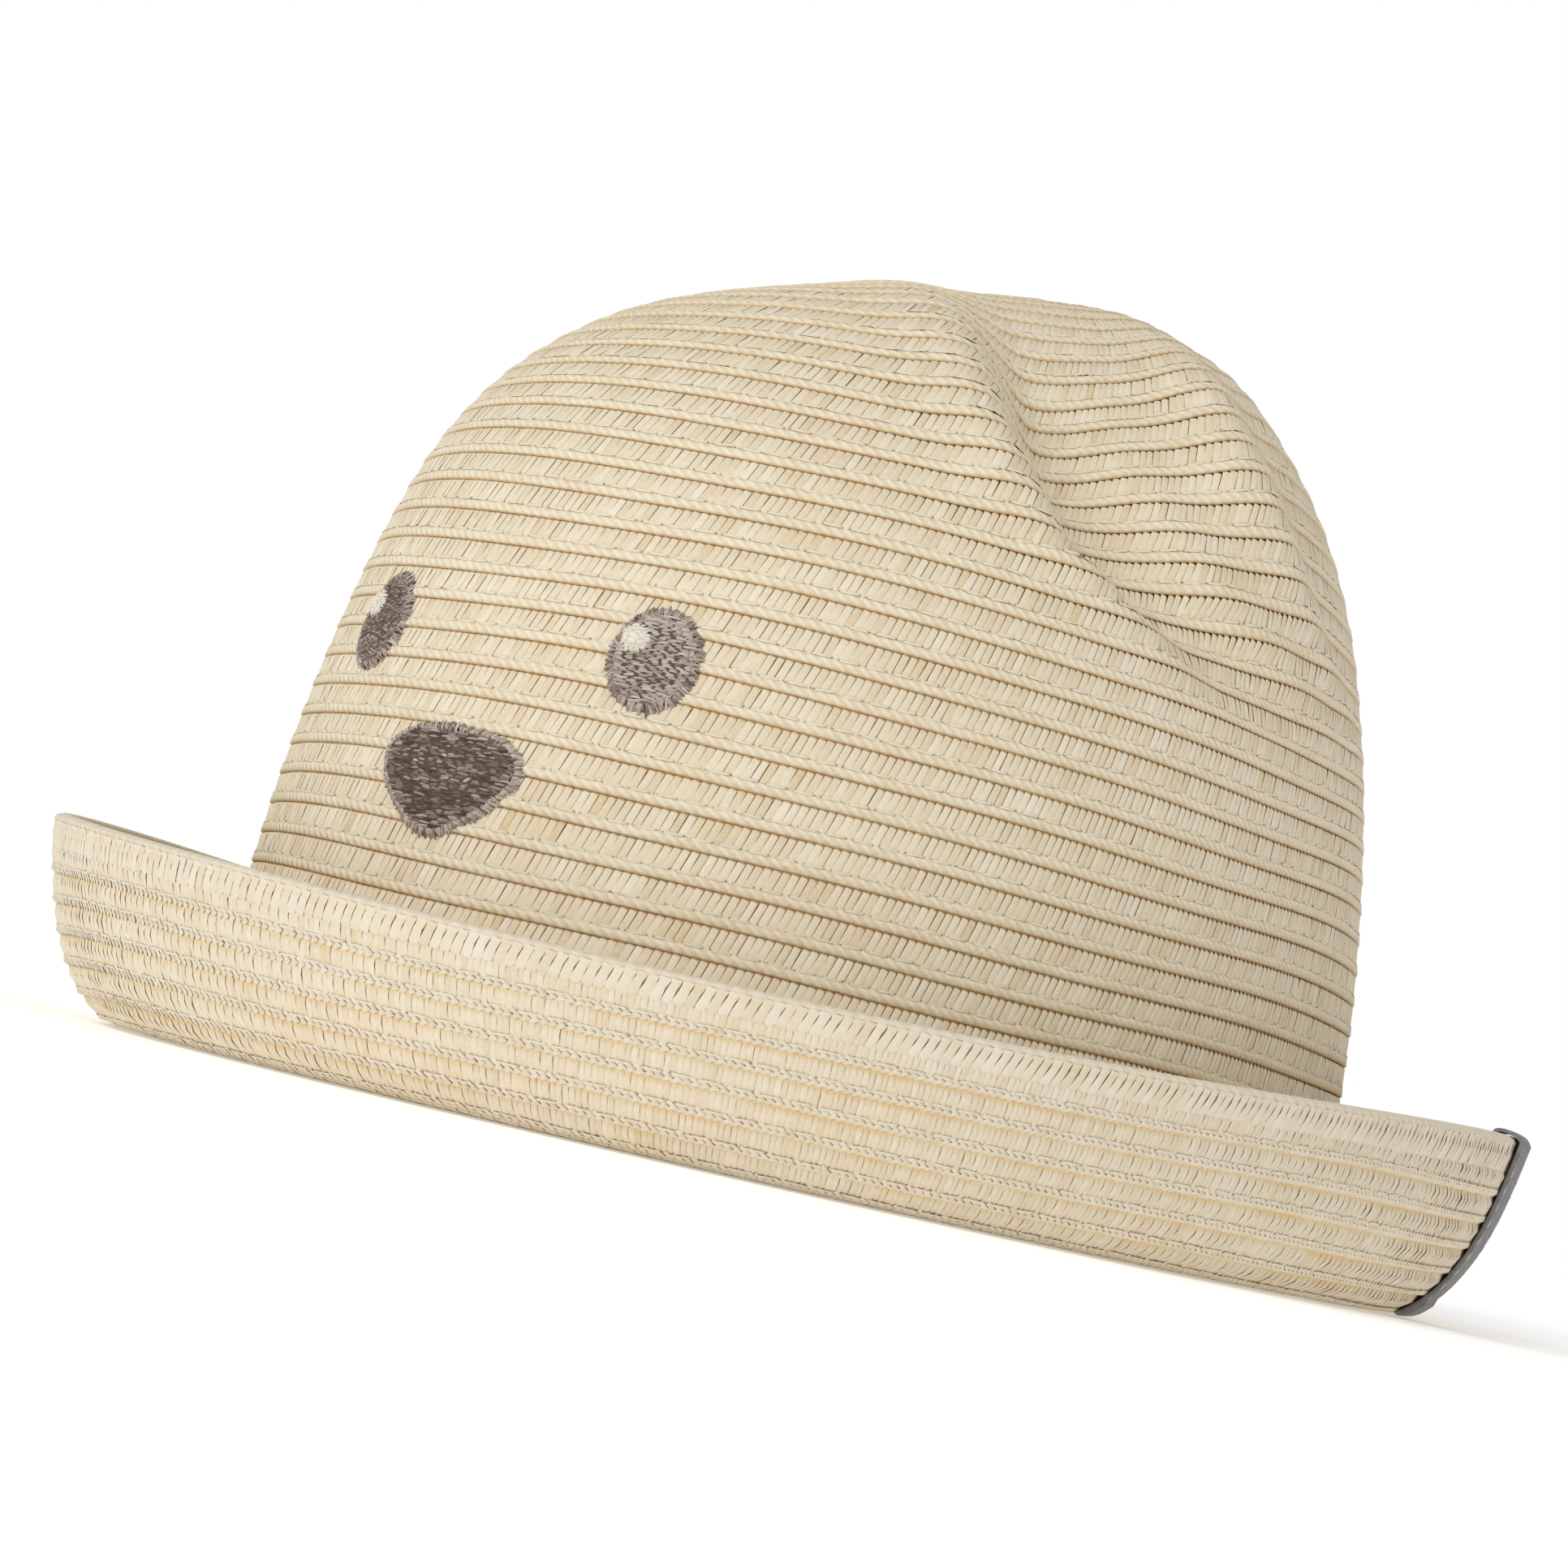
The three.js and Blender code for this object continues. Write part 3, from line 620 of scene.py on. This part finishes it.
TAPE_WIDTH, TAPE_THICK, TAPE_TURN_IN, TAPE_LENGTH = 10.0, 0.6, 7.0, 31.0
TAPE_OUT, TAPE_IN, TAPE_OVER = 2.1, 1.75, 0.65  # clear of the wall's middle outside, inside and above
HEM, HEM_EXTRA = 5.0, 0.5  # the end is turned under, so it is thicker
OUT_STEPS, FOLD_STEPS, IN_STEPS, ACROSS_STEPS = 32, 9, 9, 13
TAPE_TONE, TAPE_SPREAD = 0.42, 0.08
fold = np.linspace(0, np.pi, FOLD_STEPS)[1:-1]
tape_up = np.concatenate([np.linspace(-TAPE_LENGTH, 0, OUT_STEPS), TAPE_OVER * np.sin(fold) ** 0.5,
                          np.linspace(0, -TAPE_TURN_IN, IN_STEPS)])
tape_off = np.concatenate([np.full(OUT_STEPS, -TAPE_OUT), -np.cos(fold) * TAPE_IN,
                           np.full(IN_STEPS, TAPE_IN)])
tape_way = np.concatenate([np.zeros(OUT_STEPS), fold, np.full(IN_STEPS, np.pi)])
hem = HEM_EXTRA * np.clip(HEM - TAPE_LENGTH - tape_up, 0, 1)
tape_across = np.linspace(-1, 1, ACROSS_STEPS) * TAPE_WIDTH / 2
tape_turns = TAPE_AT + np.degrees(tape_across / radius_at(full_length))


def tape_face(out):
    """One face of the tape, some way out from its inner face."""
    up = tape_up + out * np.sin(tape_way)
    off = tape_off - out * np.cos(tape_way)
    return wall(full_length + up[:, None], tape_turns, off[:, None])


tape_points = np.concatenate([tape_face(0), tape_face(TAPE_THICK + hem)[::-1]])
tape_quads = grid_quads(len(tape_points), len(tape_across), closed_rows=True)
columns, last = len(tape_across), len(tape_points) - 1
first = np.arange(len(tape_up) - 1)
ends = np.stack([first, last - first, last - first - 1, first + 1], -1) * columns
tape_quads = np.concatenate([tape_quads, ends, ends[:, ::-1] + columns - 1])
grey_tape = woven_cloth("grey_woven_tape", [
    (0.2, "#565352"), (0.55, "#777473"), (1.0, "#979493")], thread_mm=0.7, sheen=0.1)
tape_shade = TAPE_TONE + uneven(TAPE_SPREAD, *tape_points.shape[:2])
tape = add_piece("side_tape", tape_points, tape_quads, grey_tape, "tape", shade=tape_shade)
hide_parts("brim_tape")

# A row of stitches in pale grey thread along both edges of the tape
TAPE_SEAM_IN, TAPE_SEAM_END, TAPE_STITCH, TAPE_STITCH_PITCH = 0.7, 2.0, 1.8, 2.7
TAPE_STITCH_HALF, TAPE_STITCH_SINK, TAPE_STITCH_TONE = 0.25, 0.1, 0.4
TAPE_STITCH_BOW = np.array([-0.05, 0.1, 0.1, -0.05])
stitch_step = TAPE_STITCH * np.linspace(-0.5, 0.5, len(TAPE_STITCH_BOW))
stitch_middle = np.arange(-TAPE_LENGTH + TAPE_SEAM_END, -TAPE_SEAM_END, TAPE_STITCH_PITCH)
stitch_up = stitch_middle[:, None] + stitch_step
stitch_high = TAPE_OUT + TAPE_THICK - WALL / 2 + TAPE_STITCH_BOW
tape_seams = []
for side in (-1, 1):
    turn = TAPE_AT + side * np.degrees((TAPE_WIDTH / 2 - TAPE_SEAM_IN) / radius_at(full_length))
    flat = np.ones(stitch_up.shape)
    points, quads = ribbons(full_length + stitch_up, turn * flat, stitch_high * flat,
                            TAPE_STITCH_HALF * flat, -1, TAPE_STITCH_SINK)
    shade = np.full(points.shape[:3], TAPE_STITCH_TONE)
    tape_seams.append((points, quads, shade, np.zeros(points.shape[:3])))
grey_thread = woven_cloth("pale_grey_sewing_thread", [(0.0, "#A5A2A1"), (1.0, "#D0CDCC")],
                          thread_mm=0.5, sheen=0.0)
add_joined("side_tape_stitches", tape_seams, grey_thread, "tape")

# Embroidered face
# Two round eyes and a three-cornered nose in filling stitches of taupe thread over a pad painted dark
# as the shade between the stitches, each with a fuzzy border, and an ivory glint in each eye. The
# left eye's paler fill is painted sheen. They are sewn through the braid.

EYES_AT, EYE_HEIGHT, EYE_HALF = 16.8, 66.3, (6.9, 7.8)
GLINT_LEFT, GLINT_UP, GLINT_RADIUS, GLINT_PAD = 3.3, 2.5, 2.3, 0.4
NOSE_HEIGHT, NOSE_HALF, NOSE_TAPER = 44.4, (17.0, 8.4), 0.6
PAD, PAD_EDGE, PAD_THICK, PAD_PAINTED_SHADE = 1.2, 0.5, 0.5, 0.12  # height, how far the edge is drawn in
PAD_SIDES, PAD_RINGS, PAD_CENTRE, PAD_SHOULDER, PAD_FALL = 48, 7, 0.02, 0.8, 0.2
FILL_ROW, FILL_STITCH, FILL_IN, FILL_LAP, FILL_ENDS, FILL_SLANT = 0.27, 1.8, 0.75, 0.1, 0.2, 0.1
BORDER, BORDER_SHARE, BORDER_PITCH, BORDER_WANDER, BORDER_SLANT = 0.75, 0.2, 0.22, 0.1, 0.25
BORDER_REACH, BORDER_REACH_SPREAD = 0.95, 0.22
STITCH_HALF, STITCH_SINK, STITCH_BOB, LIGHTEST = 0.15, 0.1, 0.05, 0.9
STITCH_BOW = np.array([-0.1, 0.12, 0.12, -0.1])
BORDER_DROP = np.array([-0.1, -0.05, -0.25, -0.55])

# Shade of the stitches and its spread. The left eye's fill is lighter than the right's as painted
# sheen of the glossy thread, and the nose's wide spread is partly painted sheen.
EYE_FILL_AND_SHEEN = {"right": (0.4, 0.13), "left": (0.66, 0.13)}
EYE_BORDER, GLINT_FILL, GLINT_BORDER = (0.58, 0.18), (0.55, 0.12), (0.45, 0.12)
NOSE_FILL, NOSE_BORDER = (0.3, 0.2), (0.66, 0.18)
YARN_TWIST, YARN_TONE, YARN_HEIGHT = 0.45, 0.25, 0.1


def thread(name, shades):
    """Twisted embroidery yarn: its own shade on each stitch and a faint gloss."""
    material, tree = new_material(name)
    place = node(tree, "ShaderNodeTexCoord").outputs["Object"]
    twist = node(tree, "ShaderNodeTexNoise", Vector=place, Scale=1000 / YARN_TWIST, Detail=3.0)
    own_shade = node(tree, "ShaderNodeAttribute", {"attribute_name": "shade"}).outputs["Fac"]
    shade = node(tree, "ShaderNodeMath", SUM, i0=twist, i1=YARN_TONE, i2=own_shade)
    colour = node(tree, "ShaderNodeValToRGB", {"stops": shades}, Fac=shade)
    bump = node(tree, "ShaderNodeBump", Strength=0.3, Distance=YARN_HEIGHT / 1000, Height=twist)
    skin = node(tree, "ShaderNodeBsdfPrincipled", Base_Color=colour, Roughness=0.6, Normal=bump,
                Specular_IOR_Level=0.3)
    node(tree, "ShaderNodeOutputMaterial", Surface=skin)
    return material


taupe_thread = thread("taupe_rayon_thread", [
    (0.0, "#33261E"), (0.3, "#5B4A3F"), (0.55, "#8B7C71"), (0.8, "#B1A398"), (1.0, "#CBBFB5")])
ivory_thread = thread("ivory_rayon_thread", [(0.0, "#B9AF9B"), (0.5, "#E2DAC9"), (1.0, "#F3EEE3")])


def on_crown(at, height, right, up):
    """Length and degrees of places right and up of a point on the crown."""
    length = length_at(height) - up
    return length, at + np.degrees(right / (radius_at(length) + OVAL))


def oval_outline(half, angle, taper=0.0):
    """Right and up at an angle; a taper narrows the oval towards its lower end."""
    right, up = np.cos(angle), np.sin(angle)
    return half[0] * right * (1 - taper * (1 - up) / 2), half[1] * up


def patch(name, at, height, centre, half, taper, material, slot, base, fill, border):
    """Filling stitches over a closed pad, painted dark as the shade between them, with a fringe. fill
    and border are a middle shade and its spread."""
    fringe = min(BORDER, BORDER_SHARE * min(half))
    inner = (half[0] - fringe, half[1] - fringe)
    angle = np.arange(PAD_SIDES) * 2 * np.pi / PAD_SIDES
    part = np.linspace(PAD_CENTRE, 1, PAD_RINGS)[:, None]
    edge_right, edge_up = oval_outline(inner, angle, taper)
    length, turn = on_crown(at, height, centre[0] + part * edge_right, centre[1] + part * edge_up)
    dome = base - PAD_EDGE * np.clip((part - PAD_SHOULDER) / PAD_FALL, 0, 1)
    top = wall(length, turn, WALL / 2 + dome)
    bottom = wall(length, turn, WALL / 2 + dome - PAD_THICK)
    pad = np.concatenate([bottom, top[::-1]])
    middles, reach = [], []
    deepest = inner[1] - FILL_IN * fringe
    for up in np.arange(-deepest + FILL_ROW / 2, deepest, FILL_ROW):
        side = oval_outline(inner, math.asin(up / inner[1]), taper)[0] - FILL_IN * fringe
        ends = np.arange(-side - FILL_STITCH * chance.random(), side + FILL_STITCH, FILL_STITCH)
        ends = np.clip(ends + uneven(FILL_ENDS, len(ends)), -side, side)
        middles += [(right, up) for right in (ends[1:] + ends[:-1]) / 2]
        reach += list((ends[1:] - ends[:-1]) / 2 + FILL_LAP)
    middles, reach = np.array(middles), np.maximum(reach, STITCH_HALF)
    count = len(middles)
    way = uneven(FILL_SLANT, count)
    edges = int(2 * np.pi * max(inner) / BORDER_PITCH)
    round_angle = np.arange(edges) * 2 * np.pi / edges
    rim_right, rim_up = oval_outline(inner, round_angle, taper)
    border_middles = np.stack([rim_right, rim_up], -1) + uneven(BORDER_WANDER, edges, 2)
    middles = np.concatenate([middles, border_middles])
    way = np.concatenate([way, np.arctan2(rim_up, rim_right) + uneven(BORDER_SLANT, edges)])
    reach = np.concatenate([reach, fringe * (BORDER_REACH + uneven(BORDER_REACH_SPREAD, edges))])
    step = np.linspace(-1, 1, len(STITCH_BOW))
    right = centre[0] + middles[:, :1] + step * (reach * np.cos(way))[:, None]
    up = centre[1] + middles[:, 1:] + step * (reach * np.sin(way))[:, None]
    length, turn = on_crown(at, height, right, up)
    bow = base + STITCH_BOW + uneven(STITCH_BOB, len(way), 1)
    bow[count:] += BORDER_DROP
    points, quads = ribbons(length, turn, bow, np.full(right.shape, STITCH_HALF), 1, STITCH_SINK)
    tone = np.concatenate([fill[0] + uneven(fill[1], count), border[0] + uneven(border[1], edges)])
    shade = np.broadcast_to(np.clip(tone, 0, LIGHTEST)[:, None, None], points.shape[:3])
    pad_quads = grid_quads(len(pad), PAD_SIDES, closed_columns=True)
    # The pad is painted dark as the shade between the stitches
    pad_row = (pad, pad_quads, np.full(pad.shape[:2], PAD_PAINTED_SHADE), np.zeros(pad.shape[:2]))
    stitches = (points, quads, shade, np.zeros(points.shape[:3]))
    return add_joined(name, [pad_row, stitches], material, slot)


for side, name in ((-1, "right"), (1, "left")):
    eye = patch(f"eye_stitches_{name}", side * EYES_AT, EYE_HEIGHT, (0, 0), EYE_HALF, 0, taupe_thread,
                "dark_embroidery", PAD, EYE_FILL_AND_SHEEN[name], EYE_BORDER)
    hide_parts(f"eye_{name}")
    glint = patch(f"eye_glint_stitches_{name}", side * EYES_AT, EYE_HEIGHT, (-GLINT_LEFT, GLINT_UP),
                  (GLINT_RADIUS, GLINT_RADIUS), 0, ivory_thread, "ivory_embroidery", PAD + GLINT_PAD,
                  GLINT_FILL, GLINT_BORDER)
    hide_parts(f"eye_glint_{name}")
nose = patch("nose_stitches", 0, NOSE_HEIGHT, (0, 0), NOSE_HALF, NOSE_TAPER, taupe_thread,
             "dark_embroidery", PAD, NOSE_FILL, NOSE_BORDER)
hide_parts("nose")

# Studio
# A backlit white table in a white light tent, with one broad lamp at the front left. The camera
# is low in front of the wearer's left, at the photograph's turn, distance and roll.

TABLE_HALF = 6.0
VIEW_TURN, VIEW_DISTANCE, VIEW_HEIGHT, VIEW_ROLL = math.radians(36.8), 0.65, 0.012, math.radians(12.8)
LENS, SENSOR = 94.7, 36.0
AIM_LEFT, AIM_HEIGHT = 0.0105, 0.060
TENT_LIGHT, TABLE_LIGHT, LAMP_LIGHT, LAMP_SPREAD = 0.6, 0.25, 1.15, math.radians(35)
LAMP_LEFT, LAMP_FRONT, LAMP_HEIGHT = 0.55, 0.8, 0.5

ahead = Vector((-math.sin(VIEW_TURN), math.cos(VIEW_TURN), 0))
aside = Vector((math.cos(VIEW_TURN), math.sin(VIEW_TURN), 0))
upward = Vector((0, 0, 1))
table_mesh = bpy.data.meshes.new("studio_table")
corners = [(x * TABLE_HALF, y * TABLE_HALF, 0) for x, y in ((-1, -1), (1, -1), (1, 1), (-1, 1))]
table_mesh.from_pydata(corners, [], [(0, 1, 2, 3)])
white_acrylic, tree = new_material("matt_white_acrylic")
skin = node(tree, "ShaderNodeBsdfPrincipled", Base_Color=linear("#FFFFFF"), Roughness=1.0,
            Specular_IOR_Level=0.0, Emission_Color=linear("#FFFFFF"), Emission_Strength=TABLE_LIGHT)
node(tree, "ShaderNodeOutputMaterial", Surface=skin)
table_mesh.materials.append(white_acrylic)
table = bpy.data.objects.new("studio_table", table_mesh)
bpy.context.scene.collection.objects.link(table)

tent = bpy.data.worlds.new("white_light_tent")
tent.use_nodes = True
tree = tent.node_tree
tree.nodes.clear()
seen = node(tree, "ShaderNodeLightPath").outputs["Is Camera Ray"]
strength = node(tree, "ShaderNodeMath", SUM, i0=seen, i1=1 - TENT_LIGHT, i2=TENT_LIGHT)
air = node(tree, "ShaderNodeBackground", Color=linear("#FFFFFF"), Strength=strength)
node(tree, "ShaderNodeOutputWorld", Surface=air)
bpy.context.scene.world = tent

lamp = bpy.data.lights.new("front_lamp", "SUN")
lamp.angle = LAMP_SPREAD
lamp.energy = LAMP_LIGHT
front_lamp = bpy.data.objects.new("front_lamp", lamp)
bpy.context.scene.collection.objects.link(front_lamp)
front_lamp.location = -LAMP_FRONT * ahead - LAMP_LEFT * aside + LAMP_HEIGHT * upward
front_lamp.rotation_euler = (-front_lamp.location).to_track_quat("-Z", "Y").to_euler()

view = bpy.data.cameras.new("view")
view.lens = LENS
view.sensor_width = SENSOR
view.clip_start = 0.01
camera = bpy.data.objects.new("view", view)
bpy.context.scene.collection.objects.link(camera)
stand = -VIEW_DISTANCE * ahead + VIEW_HEIGHT * upward
aim = AIM_HEIGHT * upward - AIM_LEFT * aside
turned = (aim - stand).to_track_quat("-Z", "Y").to_matrix().to_4x4()
camera.matrix_world = Matrix.Translation(stand) @ turned @ Matrix.Rotation(VIEW_ROLL, 4, "Z")
bpy.context.scene.camera = camera
bpy.context.scene.view_settings.view_transform = "Standard"
